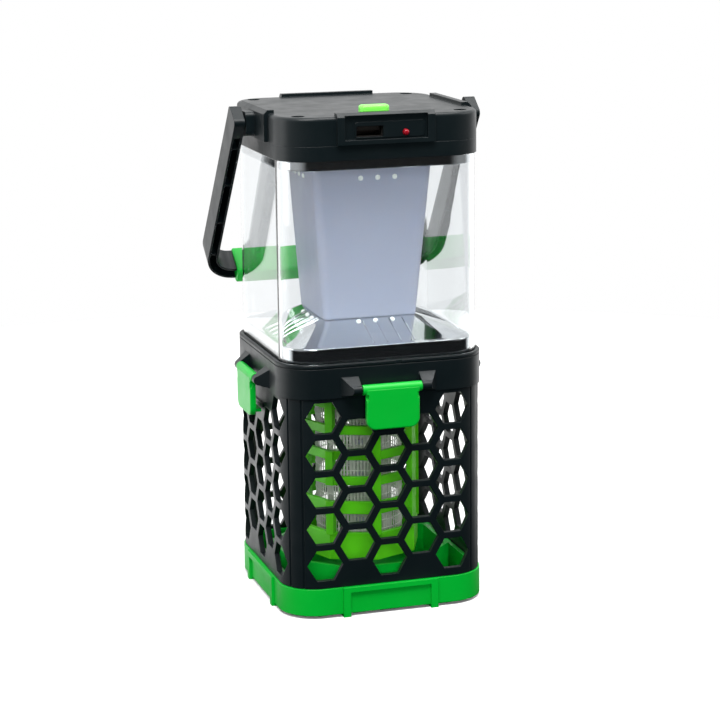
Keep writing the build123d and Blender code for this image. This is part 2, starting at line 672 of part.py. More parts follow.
def hv_capacitors():
    """Film capacitors of the voltage multiplier."""
    low = DECK_TOP + BOARD_THICK
    return Compound(children=[block((20, 25), (y - 6, y + 6), (low, low + 9)) for y in (-16, 0, 16)])


# ---------------------------------------------------------------- handle
def handle_place():
    """Handle plane at its pivot: local -Y runs down the arms and local +Z is the open side."""
    tilt = math.radians(HANDLE_TILT)
    return Plane(origin=(0, 0, PIVOT_Z), x_dir=(1, 0, 0), z_dir=(0, -math.cos(tilt), -math.sin(tilt)))


def u_outline(shrink):
    """Outline of the bail, its wall taken off by the shrink."""
    top = -CHANNEL_START * min(shrink, 1)
    outer = Polygon((-ARM_OUTER[0] + shrink, top), (-ARM_OUTER[1] + shrink, -HANDLE_REACH + shrink),
                    (ARM_OUTER[1] - shrink, -HANDLE_REACH + shrink), (ARM_OUTER[0] - shrink, top), align=None)
    outer = fillet(outer.vertices().group_by(Axis.Y)[0], HANDLE_CORNER - shrink)
    inner_low = -HANDLE_REACH + BAR_THICK - shrink
    inner = Polygon((-ARM_INNER[0] - shrink, 5), (-ARM_INNER[1] - shrink, inner_low),
                    (ARM_INNER[1] + shrink, inner_low), (ARM_INNER[0] + shrink, 5), align=None)
    inner = fillet(inner.vertices().group_by(Axis.Y)[0], HANDLE_INSIDE_CORNER + shrink)
    return outer - inner


def handle():
    """Black bail: an open channel with ribs, and a peg into each boss of the cap."""
    half = HANDLE_DEPTH / 2
    body = Pos(0, 0, -half) * extrude(u_outline(0), HANDLE_DEPTH)
    channel = Pos(0, 0, -half + HANDLE_WALL) * extrude(u_outline(HANDLE_WALL), HANDLE_DEPTH)
    arm_middle = (ARM_INNER[0] + ARM_OUTER[0]) / 2
    spread = (ARM_OUTER[1] - ARM_OUTER[0]) / HANDLE_REACH
    for side in (-1, 1):
        for place in RIB_PLACES:
            x = side * (arm_middle + spread * place)
            channel -= Pos(x, -place, 0) * Box(5, RIB_THICK, HANDLE_DEPTH - 2 * RIB_SUNK)
    body -= channel
    for side in (-1, 1):
        low, high = sorted((side * ARM_INNER[0], side * ARM_OUTER[0]))
        eye = block((low, high), (-CHANNEL_START, EYE_TOP), (-half, half))
        upper = [edge for edge in eye.edges().filter_by(Axis.X) if edge.center().Y > 0]
        body += fillet(upper, EYE_CORNER)
        low, high = sorted((side * (BOSS_OUT - 4), side * (ARM_OUTER[0] - 1)))
        body += rod_x(PEG_RADIUS, low, high, 0, 0)
    return handle_place() * body


def grip():
    """Green sleeve over the middle of the bail."""
    low = -HANDLE_REACH - GRIP_COVER
    high = -HANDLE_REACH + BAR_THICK + GRIP_COVER
    half = HANDLE_DEPTH / 2
    body = block((-GRIP_HALF, GRIP_HALF), (low, high), (-half - GRIP_COVER, GRIP_FRONT))
    body = fillet(body.edges().filter_by(Axis.X), 0.6)
    body -= block((-GRIP_HALF - 1, GRIP_HALF + 1), (-HANDLE_REACH, -HANDLE_REACH + BAR_THICK), (-half, half))
    return handle_place() * body


# ---------------------------------------------------------------- all pieces
PIECES = {
    "tray": tray,
    "cage": cage,
    "collar": collar,
    "latch_pins": latch_pins,
    "window": window,
    "lower_reflector": lower_reflector,
    "upper_reflector": upper_reflector,
    "diffuser": diffuser,
    "lamp_post": lamp_post,
    "lamp_boards": lamp_boards,
    "lamp_leds": lamp_leds,
    "cap_rim": cap_rim,
    "cap": cap,
    "power_button": power_button,
    "tact_switch": tact_switch,
    "main_board": main_board,
    "usb_socket": usb_socket,
    "charge_led": charge_led,
    "cap_screws": cap_screws,
    "battery": battery,
    "battery_holder": battery_holder,
    "guard": guard,
    "uv_board": uv_board,
    "uv_leds": uv_leds,
    "uv_socket": uv_socket,
    "hv_board": hv_board,
    "hv_transformer": hv_transformer,
    "hv_capacitors": hv_capacitors,
    "handle": handle,
    "grip": grip,
}
LATCH_NAMES = ("latch_front", "latch_right", "latch_back", "latch_left")

os.makedirs("parts", exist_ok=True)
for name, make in PIECES.items():
    export_step(make(), f"parts/{name}.step")
for number, name in enumerate(LATCH_NAMES):
    export_step(latch(number), f"parts/{name}.step")
grid_low = GUARD_BOTTOM + 1.4
export_step(grid(GRID_RADIUS, GRID_COUNT, GRID_RINGS, grid_low, DECK_BOTTOM), "parts/outer_grid.step")
export_step(grid(INNER_GRID_RADIUS, INNER_GRID_COUNT, GRID_RINGS, grid_low, DECK_BOTTOM), "parts/inner_grid.step")
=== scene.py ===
"""Camping lantern with an insect-killing chamber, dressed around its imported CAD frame.

The lantern stands on the origin, Z up, with its charging socket towards -Y. Lengths in the classes
are millimetres, and every mesh is written in metres.
"""
import logging
import math
from dataclasses import dataclass
from enum import Enum

import bpy
import numpy as np
from mathutils import Matrix, Vector


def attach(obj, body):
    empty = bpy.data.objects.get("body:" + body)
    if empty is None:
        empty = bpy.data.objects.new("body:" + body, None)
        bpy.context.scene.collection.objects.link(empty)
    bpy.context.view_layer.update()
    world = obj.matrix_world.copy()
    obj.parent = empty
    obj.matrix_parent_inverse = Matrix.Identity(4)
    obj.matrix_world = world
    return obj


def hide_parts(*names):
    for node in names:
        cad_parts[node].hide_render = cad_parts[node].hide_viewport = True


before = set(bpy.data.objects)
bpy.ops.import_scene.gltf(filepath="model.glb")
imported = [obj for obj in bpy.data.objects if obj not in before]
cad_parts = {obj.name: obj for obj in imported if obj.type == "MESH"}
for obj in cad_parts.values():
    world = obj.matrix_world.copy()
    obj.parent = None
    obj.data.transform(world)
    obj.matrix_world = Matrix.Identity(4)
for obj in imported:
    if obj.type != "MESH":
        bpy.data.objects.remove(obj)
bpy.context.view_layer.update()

logging.basicConfig(level=logging.INFO, format="%(message)s")
LOG = logging.getLogger("lantern")

MM = 0.001
SMOOTH_ANGLE = math.radians(32)
FULL_TURN = 2 * math.pi


# ------------------------------------------------------------------ materials

def linear(code: str) -> tuple[float, float, float, float]:
    """Turn an sRGB hex code into linear RGBA.

    Args:
        code: colour such as "#0a8c3f".

    Returns:
        Linear red, green, blue and an alpha of one.
    """
    levels = [int(code[i:i + 2], 16) / 255 for i in (1, 3, 5)]
    return tuple(v / 12.92 if v <= 0.04045 else ((v + 0.055) / 1.055) ** 2.4 for v in levels) + (1.0,)


def add(tree: bpy.types.NodeTree, kind: str, links: dict | None = None, **settings) -> bpy.types.Node:
    """Add one shader node with its settings and incoming links.

    Args:
        tree: the material's node tree.
        kind: the node's type name without "ShaderNode".
        links: input name or number to the output socket that feeds it.
        **settings: attributes of the node, or input values when the name is no attribute.

    Returns:
        The new node.
    """
    node = tree.nodes.new("ShaderNode" + kind)
    for name, value in settings.items():
        if hasattr(node, name):
            setattr(node, name, value)
        else:
            node.inputs[name.replace("_", " ")].default_value = value
    for name, socket in (links or {}).items():
        tree.links.new(socket, node.inputs[name])
    return node


def new_tree(name: str) -> tuple[bpy.types.Material, bpy.types.NodeTree]:
    """Make an empty node material.

    Args:
        name: the material's name.

    Returns:
        The material and its node tree.
    """
    material = bpy.data.materials.new(name)
    material.use_nodes = True
    material.node_tree.nodes.clear()
    return material, material.node_tree


def per_mm(size: float) -> float:
    """Texture scale on Object coordinates for a pattern of this size in millimetres."""
    return 1.0 / (size * MM)


@dataclass(frozen=True)
class MouldedPlastic:
    """Injection-moulded plastic: even colour, a fine spark-eroded grain and softly broken edges."""

    name: str
    colour: str
    shade: str
    roughness: float = 0.42
    grain: float = 0.35
    relief: float = 0.02
    edge: float = 0.3
    subsurface: float = 0.0
    scatter: float = 1.5
    ior: float = 1.5
    coat: float = 0.0

    def build(self) -> bpy.types.Material:
        """Build the material.

        Returns:
            A material whose colour, roughness and relief vary as a moulding's do.
        """
        material, tree = new_tree(self.name)
        place = add(tree, "TexCoord").outputs["Object"]
        # flow marks: slow changes of shade over a few centimetres
        flow = add(tree, "TexNoise", {"Vector": place}, Scale=per_mm(28), Detail=2.0)
        colour = add(tree, "Mix", {"Factor": flow.outputs["Fac"]}, data_type="RGBA")
        colour.inputs["A"].default_value = linear(self.shade)
        colour.inputs["B"].default_value = linear(self.colour)
        # handling marks: gloss that changes over about a centimetre
        wear = add(tree, "TexNoise", {"Vector": place}, Scale=per_mm(9), Detail=5.0)
        gloss = add(tree, "MapRange", {"Value": wear.outputs["Fac"]})
        gloss.inputs["From Min"].default_value = 0.3
        gloss.inputs["From Max"].default_value = 0.7
        gloss.inputs["To Min"].default_value = self.roughness - 0.05
        gloss.inputs["To Max"].default_value = self.roughness + 0.05
        # spark-eroded grain of the mould, drawn a little coarser than real so that it shows
        grain = add(tree, "TexNoise", {"Vector": place}, Scale=per_mm(self.grain), Detail=3.0)
        broken = add(tree, "Bevel", samples=4, Radius=self.edge * MM)
        relief = add(tree, "Bump", {"Height": grain.outputs["Fac"], "Normal": broken.outputs["Normal"]},
                     Strength=0.5, Distance=self.relief * MM)
        shader = add(tree, "BsdfPrincipled",
                     {"Base Color": colour.outputs["Result"], "Roughness": gloss.outputs["Result"],
                      "Normal": relief.outputs["Normal"]},
                     IOR=self.ior, Subsurface_Weight=self.subsurface, Coat_Weight=self.coat)
        shader.inputs["Subsurface Radius"].default_value = (1.0, 0.8, 0.6)
        shader.inputs["Subsurface Scale"].default_value = self.scatter * MM
        add(tree, "OutputMaterial", {"Surface": shader.outputs["BSDF"]})
        return material


@dataclass(frozen=True)
class ClearPlastic:
    """Polished clear polystyrene: refracts, mirrors at a glancing angle and lets light through."""

    name: str
    colour: str = "#f5f7f8"
    ior: float = 1.5
    roughness: float = 0.0

    def build(self) -> bpy.types.Material:
        """Build the material.

        Returns:
            A refracting material that casts only a faint shadow.
        """
        material, tree = new_tree(self.name)
        place = add(tree, "TexCoord").outputs["Object"]
        # the mould's slight waviness, seen only in what the wall mirrors
        wave = add(tree, "TexNoise", {"Vector": place}, Scale=per_mm(45), Detail=1.0)
        relief = add(tree, "Bump", {"Height": wave.outputs["Fac"]}, Strength=0.1, Distance=0.03 * MM)
        shader = add(tree, "BsdfPrincipled", {"Normal": relief.outputs["Normal"]},
                     Roughness=self.roughness, IOR=self.ior, Transmission_Weight=1.0)
        shader.inputs["Base Color"].default_value = linear(self.colour)
        # clear plastic hardly shades what is behind it
        passing = add(tree, "BsdfTransparent")
        passing.inputs["Color"].default_value = linear("#f0f5f4")
        path = add(tree, "LightPath")
        blend = add(tree, "MixShader", {0: path.outputs["Is Shadow Ray"], 1: shader.outputs["BSDF"],
                                        2: passing.outputs["BSDF"]})
        add(tree, "OutputMaterial", {"Surface": blend.outputs["Shader"]})
        return material


@dataclass(frozen=True)
class Metal:
    """Metal surface: plated, drawn or cut."""

    name: str
    colour: str
    roughness: float
    streak: tuple[float, float, float] = (4.0, 4.0, 4.0)
    relief: float = 0.004
    spread: float = 0.04

    def build(self) -> bpy.types.Material:
        """Build the material.

        Returns:
            A metal whose gloss and relief follow its streaks.
        """
        material, tree = new_tree(self.name)
        place = add(tree, "TexCoord").outputs["Object"]
        stretch = add(tree, "Mapping", {"Vector": place})
        stretch.inputs["Scale"].default_value = [per_mm(size) for size in self.streak]
        lines = add(tree, "TexNoise", {"Vector": stretch.outputs["Vector"]}, Scale=1.0, Detail=4.0)
        gloss = add(tree, "MapRange", {"Value": lines.outputs["Fac"]})
        gloss.inputs["To Min"].default_value = max(self.roughness - self.spread, 0.01)
        gloss.inputs["To Max"].default_value = self.roughness + self.spread
        relief = add(tree, "Bump", {"Height": lines.outputs["Fac"]}, Strength=0.4,
                     Distance=self.relief * MM)
        shader = add(tree, "BsdfPrincipled",
                     {"Roughness": gloss.outputs["Result"], "Normal": relief.outputs["Normal"]},
                     Metallic=1.0)
        shader.inputs["Base Color"].default_value = linear(self.colour)
        add(tree, "OutputMaterial", {"Surface": shader.outputs["BSDF"]})
        return material


class Finish(Enum):
    """The lantern's finishes, each named for its material and how it was made; the wire's pale colour is
    painted sheen.
    """

    GREEN = MouldedPlastic("abs_green_moulded", "#00b232", "#00a62c", roughness=0.38, relief=0.012,
                           edge=0.4, ior=1.46)
    LEAF = MouldedPlastic("polypropylene_leaf_green_moulded", "#66dc20", "#58cc1a", roughness=0.4,
                          relief=0.01, edge=0.3, subsurface=0.3, scatter=3.0)
    BLACK = MouldedPlastic("abs_black_spark_eroded", "#0d1619", "#0a1214", roughness=0.38, relief=0.016,
                           edge=0.4, ior=1.38)
    BUTTON = MouldedPlastic("abs_light_green_moulded", "#7fe85c", "#74dd52", roughness=0.3, subsurface=0.3,
                            scatter=2.5, edge=0.5)
    MILKY = MouldedPlastic("polypropylene_milky_moulded", "#999cac", "#9396a8", roughness=0.46, relief=0.01,
                           subsurface=0.6, scatter=9.0, edge=0.6)
    GREY = MouldedPlastic("nylon_grey_moulded", "#7c7d7e", "#737475", roughness=0.5)
    WHITE = MouldedPlastic("nylon_white_moulded", "#dcdcd6", "#d2d2cc", roughness=0.5)
    BOARD = MouldedPlastic("fibreglass_white_masked", "#e2e5e0", "#d9dcd7", roughness=0.3, coat=0.3)
    BOARD_GREEN = MouldedPlastic("fibreglass_green_masked", "#14572c", "#104b25", roughness=0.28, coat=0.4)
    CELL = MouldedPlastic("pvc_blue_shrunk", "#2a5a9a", "#244f8a", roughness=0.25)
    FERRITE = MouldedPlastic("ferrite_sintered", "#2a2827", "#232120", roughness=0.6, relief=0.05)
    PHOSPHOR = MouldedPlastic("silicone_yellow_cast", "#e9dc8a", "#e2d37c", roughness=0.35, subsurface=0.3)
    VIOLET = MouldedPlastic("epoxy_violet_cast", "#d4d4e6", "#cacae0", roughness=0.2, subsurface=0.3)
    CLEAR = ClearPlastic("polystyrene_clear_polished")
    LENS_RED = MouldedPlastic("epoxy_red_cast", "#a01022", "#7c0b18", roughness=0.08, subsurface=0.4,
                              scatter=1.0, relief=0.0, edge=0.1)
    CHROME = Metal("abs_vacuum_chromed", "#d9dcde", 0.05, streak=(14.0, 14.0, 14.0), relief=0.02,
                   spread=0.02)
    # the steel wires' pale matt colour is painted sheen: it stands in for the light that plated steel would
    # mirror, built as plastic
    WIRE = MouldedPlastic("steel_wire_painted_sheen", "#e6e8e2", "#d6d9d2", roughness=0.4, relief=0.01,
                          edge=0.1)
    STEEL = Metal("steel_wire_drawn", "#dcdcd6", 0.3, streak=(0.4, 0.4, 6.0))
    TIN = Metal("steel_black_nickelled", "#77736f", 0.42, streak=(3.0, 0.5, 0.5))

    def material(self) -> bpy.types.Material:
        """The finish's material, built the first time it is asked for."""
        found = bpy.data.materials.get(self.value.name)
        return found or self.value.build()


# the finish of every CAD node that stays visible
NODE_FINISHES = {
    Finish.GREEN: ("tray", "latch_front", "latch_right", "latch_back", "latch_left"),
    Finish.LEAF: ("guard",),
    Finish.BUTTON: ("power_button",),
    Finish.BLACK: ("cage", "collar", "cap_rim", "cap", "handle"),
    Finish.GREY: ("lamp_post", "battery_holder", "tact_switch"),
    Finish.WHITE: ("uv_socket", "hv_capacitors"),
    Finish.BOARD: ("lamp_boards", "uv_board"),
    Finish.BOARD_GREEN: ("main_board", "hv_board"),
    Finish.CELL: ("battery",),
    Finish.FERRITE: ("hv_transformer",),
    Finish.PHOSPHOR: ("lamp_leds",),
    Finish.VIOLET: ("uv_leds",),
    Finish.STEEL: ("latch_pins", "cap_screws"),
    Finish.TIN: ("usb_socket",),
}


# ------------------------------------------------------------------ mesh helpers

def mesh_object(name: str, points: np.ndarray, quads: np.ndarray, finish: Finish) -> bpy.types.Object:
    """Put arrays of points and quads into a new object at the origin.

    Args:
        name: the piece's name.
        points: (n, 3) array in millimetres.
        quads: (m, 4) array of point numbers, counter-clockwise from outside.
        finish: the finish of the whole piece.

    Returns:
        The new object, shaded smooth except over sharp edges.
    """
    mesh = bpy.data.meshes.new(name)
    mesh.vertices.add(len(points))
    mesh.vertices.foreach_set("co", (points * MM).astype(np.float32).ravel())
    mesh.loops.add(quads.size)
    mesh.loops.foreach_set("vertex_index", quads.astype(np.int32).ravel())
    mesh.polygons.add(len(quads))
    mesh.polygons.foreach_set("loop_start", np.arange(0, quads.size, 4, dtype=np.int32))
    mesh.update(calc_edges=True)
    mesh.validate()
    mesh.polygons.foreach_set("use_smooth", np.ones(len(mesh.polygons), bool))
    mesh.set_sharp_from_angle(angle=SMOOTH_ANGLE)
    mesh.materials.append(finish.material())
    piece = bpy.data.objects.new(name, mesh)
    bpy.context.scene.collection.objects.link(piece)
    return piece


def grid_quads(rows: int, columns: int, wrap_rows: bool, wrap_columns: bool) -> np.ndarray:
    """Quads of a rows by columns grid of points: (r, c), (r, c+1), (r+1, c+1), (r+1, c).

    Args:
        rows: number of rows of points.
        columns: number of columns of points.
        wrap_rows: whether the last row joins the first.
        wrap_columns: whether the last column joins the first.

    Returns:
        (m, 4) array of point numbers.
    """
    r = np.arange(rows if wrap_rows else rows - 1)
    c = np.arange(columns if wrap_columns else columns - 1)
    r, c = (a.ravel() for a in np.meshgrid(r, c, indexing="ij"))
    r_next, c_next = (r + 1) % rows, (c + 1) % columns
    row, row_next = r * columns, r_next * columns
    return np.stack([row + c, row + c_next, row_next + c_next, row_next + c], 1)


def rounded_square(half: np.ndarray, corner: np.ndarray, steps: int = 10) -> np.ndarray:
    """Rounded squares: a straight run and a quarter arc of radius r, four times round.

    A point of an arc is (h - r + r cos t, h - r + r sin t), turned by a right angle for each corner.
    Each straight run has a point just inside its ends, so that it shades flat.

    Args:
        half: (k,) half widths.
        corner: (k,) corner radii.
        steps: segments in each quarter arc.

    Returns:
        (k, n, 2) array of points, counter-clockwise.
    """
    half, corner = (np.asarray(v, float)[:, None] for v in (half, corner))
    turn = np.linspace(0, math.pi / 2, steps + 1)[None]
    flat = half - corner
    inset = np.minimum(0.6, flat * 0.3)
    x = np.concatenate([half, half, flat + corner * np.cos(turn), flat - inset], 1)
    y = np.concatenate([-flat + inset, flat - inset, flat + corner * np.sin(turn), half], 1)
    quarter = np.stack([x, y], 2)
    spin = [np.array([[math.cos(a), math.sin(a)], [-math.sin(a), math.cos(a)]]) for a in
            (0, math.pi / 2, math.pi, 3 * math.pi / 2)]
    return np.concatenate([quarter[:, :-1] @ matrix for matrix in spin], 1)


def carried_profile(name: str, profile: np.ndarray, finish: Finish, steps: int = 10) -> bpy.types.Object:
    """Closed shell: a closed profile carried round a rounded square.

    Row i of the profile is (half width, corner radius, height); the surface is the rounded square of
    that size at that height, and the last row joins the first.

    Args:
        name: the piece's name.
        profile: (k, 3) array, listed so that the faces point outwards.
        finish: the piece's finish.
        steps: segments in each corner.

    Returns:
        The new object.
    """
    profile = np.asarray(profile, float)
    flat = rounded_square(profile[:, 0], profile[:, 1], steps)
    height = np.broadcast_to(profile[:, 2][:, None, None], flat.shape[:2] + (1,))
    points = np.concatenate([flat, height], 2)
    rows, columns = points.shape[:2]
    return mesh_object(name, points.reshape(-1, 3), grid_quads(rows, columns, True, True), finish)


def softened(corners: np.ndarray, radius: float, steps: int = 3) -> np.ndarray:
    """Round the corners of a closed profile with quadratic curves.

    Each corner P becomes (1-t)^2 A + 2t(1-t) P + t^2 B, where A and B lie on its two sides at the radius.
    A further point on each side, just past A and B, keeps the flat part shading flat.

    Args:
        corners: (k, 3) closed profile.
        radius: distance from each corner to the curve's ends.
        steps: segments in each curve.

    Returns:
        (k * (steps + 3), 3) closed profile.
    """
    corners = np.asarray(corners, float)
    before, after = np.roll(corners, 1, 0) - corners, np.roll(corners, -1, 0) - corners

    def reach(side: np.ndarray, distance: float, share: float) -> np.ndarray:
        """Side vectors cut to a distance, or to a share of their length when that is less."""
        length = np.linalg.norm(side[:, [0, 2]], axis=1, keepdims=True)
        return side / length * np.minimum(distance, share * length)

    t = np.linspace(0, 1, steps + 1)[None, :, None]
    start, end = (corners + reach(side, radius, 0.42) for side in (before, after))
    lead, trail = (corners + reach(side, radius + 0.4, 0.47) for side in (before, after))
    curve = (1 - t) ** 2 * start[:, None] + 2 * t * (1 - t) * corners[:, None] + t ** 2 * end[:, None]
    return np.concatenate([lead[:, None], curve, trail[:, None]], 1).reshape(-1, 3)


def tube_quads(points: np.ndarray) -> np.ndarray:
    """Quads of many open tubes given as (tubes, stations, around, 3) points."""
    tubes, stations, around = points.shape[:3]
    single = grid_quads(stations, around, False, True)
    return (single[None] + (np.arange(tubes) * stations * around)[:, None, None]).reshape(-1, 4)


def ride(piece: bpy.types.Object, body: str, slot: str, *nodes: str) -> bpy.types.Object:
    """Let a piece ride on a body, and hide the CAD nodes it replaces."""
    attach(piece, body)
    if nodes:
        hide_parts(*nodes)
    LOG.info("piece %s rides on %s", piece.name, body)
    return piece


# ------------------------------------------------------------------ the lantern's assemblies

@dataclass
class LampHousing:
    """Clear window, chromed reflectors and the milky diffuser between collar and cap."""

    window_half: float = 48.5
    window_corner: float = 16.0
    window_wall: float = 2.0
    window_low: float = 118.2
    window_high: float = 218.5
    skirt_half: float = 46.2
    skirt_corner: float = 14.0
    skirt_low: float = 111.2
    skirt_high: float = 130.6
    skirt_roll: float = 1.6
    sheet: float = 1.0
    lip: float = 2.2
    lip_reach: float = 2.0
    diffuser_low: float = 139.2
    diffuser_high: float = 212.0
    diffuser_low_half: float = 23.2
    diffuser_high_half: float = 29.2
    diffuser_corner: float = 3.5
    diffuser_wall: float = 1.6
    pan_low: float = 213.8
    pan_high: float = 218.4
    pan_opening: float = 27.0
    stud_centre: float = 2.1
    stud_pitch: float = 8.4
    stud_radius: float = 1.25
    stud_bulge: float = 0.8
    stud_drop: float = 4.7
    foot_centre: float = 1.3
    foot_out: float = 25.7
    foot_height: float = 138.2
    foot_lean: float = math.radians(69)
    rib_first: float = -5.0
    rib_pitch: float = 6.7
    ribs: int = 4
    rib_radius: float = 0.3
    rib_foot_gap: float = 2.6
    rib_head_gap: float = 1.0

    def window(self) -> bpy.types.Object:
        """Window wall: a thin upright rectangle with softened ends, carried round the square."""
        half, corner, wall = self.window_half, self.window_corner, self.window_wall
        low, high = self.window_low, self.window_high
        profile = softened([(half, corner, low), (half, corner, high), (half - wall, corner - wall, high),
                            (half - wall, corner - wall, low)], 0.5)
        piece = carried_profile("window_shell", profile, Finish.CLEAR, steps=16)
        return ride(piece, "head", "clear", "window")

    def lower_reflector(self) -> bpy.types.Object:
        """Lower reflector: an upright skirt, a rolled edge, and a slope up to the diffuser."""
        half, corner, sheet = self.skirt_half, self.skirt_corner, self.sheet
        inner, inner_corner = self.diffuser_low_half - self.lip, self.diffuser_corner - 1
        slope_top, roll = self.diffuser_low, self.skirt_roll
        profile = softened([
            (half, corner, self.skirt_low), (half, corner, self.skirt_high),
            (half - roll, corner - 0.75 * roll, self.skirt_high + 0.2),
            (inner + self.lip_reach, inner_corner + 1, slope_top),
            (inner, inner_corner, slope_top), (inner, inner_corner, slope_top - sheet),
            (half - roll - 0.6, corner - 0.75 * roll - 0.6, self.skirt_high - sheet),
            (half - sheet, corner - sheet, self.skirt_low)], 0.5)
        piece = carried_profile("lower_reflector_sheet", profile, Finish.CHROME, steps=14)
        return ride(piece, "head", "chrome", "lower_reflector")

    def upper_reflector(self) -> bpy.types.Object:
        """Upper reflector: a shallow pan, open for the diffuser's head."""
        half, corner, sheet = self.skirt_half, self.skirt_corner, self.sheet
        hole, hole_corner = self.pan_opening, self.diffuser_corner
        low, high = self.pan_low, self.pan_high
        profile = softened([
            (half, corner, low), (half, corner, high), (half - sheet, corner - sheet, high),
            (half - sheet, corner - sheet, low + sheet), (hole, hole_corner, low + sheet),
            (hole, hole_corner, low)], 0.4)
        piece = carried_profile("upper_reflector_sheet", profile, Finish.CHROME, steps=14)
        return ride(piece, "head", "chrome", "upper_reflector")

    def diffuser(self) -> bpy.types.Object:
        """Diffuser: a tapered square tube, closed at the top round a neck into the cap."""
        low_half, high_half, corner = self.diffuser_low_half, self.diffuser_high_half, self.diffuser_corner
        wall, low, high = self.diffuser_wall, self.diffuser_low, self.diffuser_high
        neck = self.pan_opening - 0.3
        profile = softened([
            (low_half, corner, low), (high_half, corner, high), (neck, corner - 0.5, high),
            (neck, corner - 0.5, self.window_high), (neck - wall, corner - wall, self.window_high),
            (high_half - wall - 1, corner - wall, high - wall), (low_half - wall, corner - wall, low)], 0.7)
        piece = carried_profile("diffuser_shell", profile, Finish.MILKY, steps=12)
        return ride(piece, "head", "milky", "diffuser")

    def spread(self, front: np.ndarray) -> np.ndarray:
        """Repeat (tubes, stations, around, 3) points of the front side on all four sides."""
        quarters = ((1, 0), (0, 1), (-1, 0), (0, -1))
        spins = [np.array([[c, s, 0], [-s, c, 0], [0, 0, 1]]) for c, s in quarters]
        return np.concatenate([front @ spin for spin in spins])

    def studs(self) -> bpy.types.Object:
        """Heat-staked studs in threes on the diffuser's head and on the reflector at its foot.

        Each is a dome with axis A and spread (X, B): r sin a (X cos t + B sin t) + 0.8 r cos a A, where A
        leans from -Y towards +Z by the slope of the surface it sits on, and 0.8 is the bulge.
        """
        turn = np.linspace(0, FULL_TURN, 14, endpoint=False)
        rise = np.linspace(0.03, math.pi / 2 + 0.3, 8)
        wide = self.stud_radius * np.outer(np.sin(rise), np.cos(turn))
        tall = self.stud_radius * np.outer(np.sin(rise), np.sin(turn))
        bulge = self.stud_bulge * self.stud_radius * np.outer(np.cos(rise), np.ones_like(turn))
        drop_share = self.stud_drop / (self.diffuser_high - self.diffuser_low)
        head_height = self.diffuser_high - self.stud_drop
        head_out = self.diffuser_high_half - drop_share * (self.diffuser_high_half - self.diffuser_low_half)
        domes = []
        rows = ((self.stud_centre, head_out, head_height, 0.0),
                (self.foot_centre, self.foot_out, self.foot_height, self.foot_lean))
        for centre, out, height, lean in rows:
            for number in (-1, 0, 1):
                x = centre + number * self.stud_pitch + wide
                y = -out - bulge * math.cos(lean) + tall * math.sin(lean)
                z = height + bulge * math.sin(lean) + tall * math.cos(lean)
                domes.append(np.stack([x, y, z], 2))
        points = self.spread(np.stack(domes))
        piece = mesh_object("diffuser_studs", points.reshape(-1, 3), tube_quads(points), Finish.BOARD)
        return ride(piece, "head", "milky")

    def ribs_on_slope(self) -> bpy.types.Object:
        """Stiffening ribs: thin round bars that lie down the reflector's slope, in fours."""
        turn = np.linspace(0, FULL_TURN, 8, endpoint=False)
        run = np.linspace(0, 1, 6)[:, None]
        low_y, high_y = self.rib_foot_gap - self.skirt_half, -self.diffuser_low_half - self.rib_head_gap
        low_z, high_z = self.skirt_high + 0.55, self.diffuser_low + 0.1
        shape = (len(run), len(turn))
        bars = []
        for number in range(self.ribs):
            x = self.rib_first + number * self.rib_pitch + self.rib_radius * np.cos(turn)
            y = np.broadcast_to(low_y + (high_y - low_y) * run, shape)
            z = low_z + (high_z - low_z) * run + self.rib_radius * np.sin(turn)
            bars.append(np.stack([np.broadcast_to(x, shape), y, z], 2))
        points = self.spread(np.stack(bars))
        piece = mesh_object("reflector_ribs", points.reshape(-1, 3), tube_quads(points), Finish.CHROME)
        return ride(piece, "head", "chrome")

    def build(self) -> None:
        """Build every piece of the lamp housing."""
        self.window()
        self.lower_reflector()
        self.upper_reflector()
        self.diffuser()
        self.studs()
        self.ribs_on_slope()


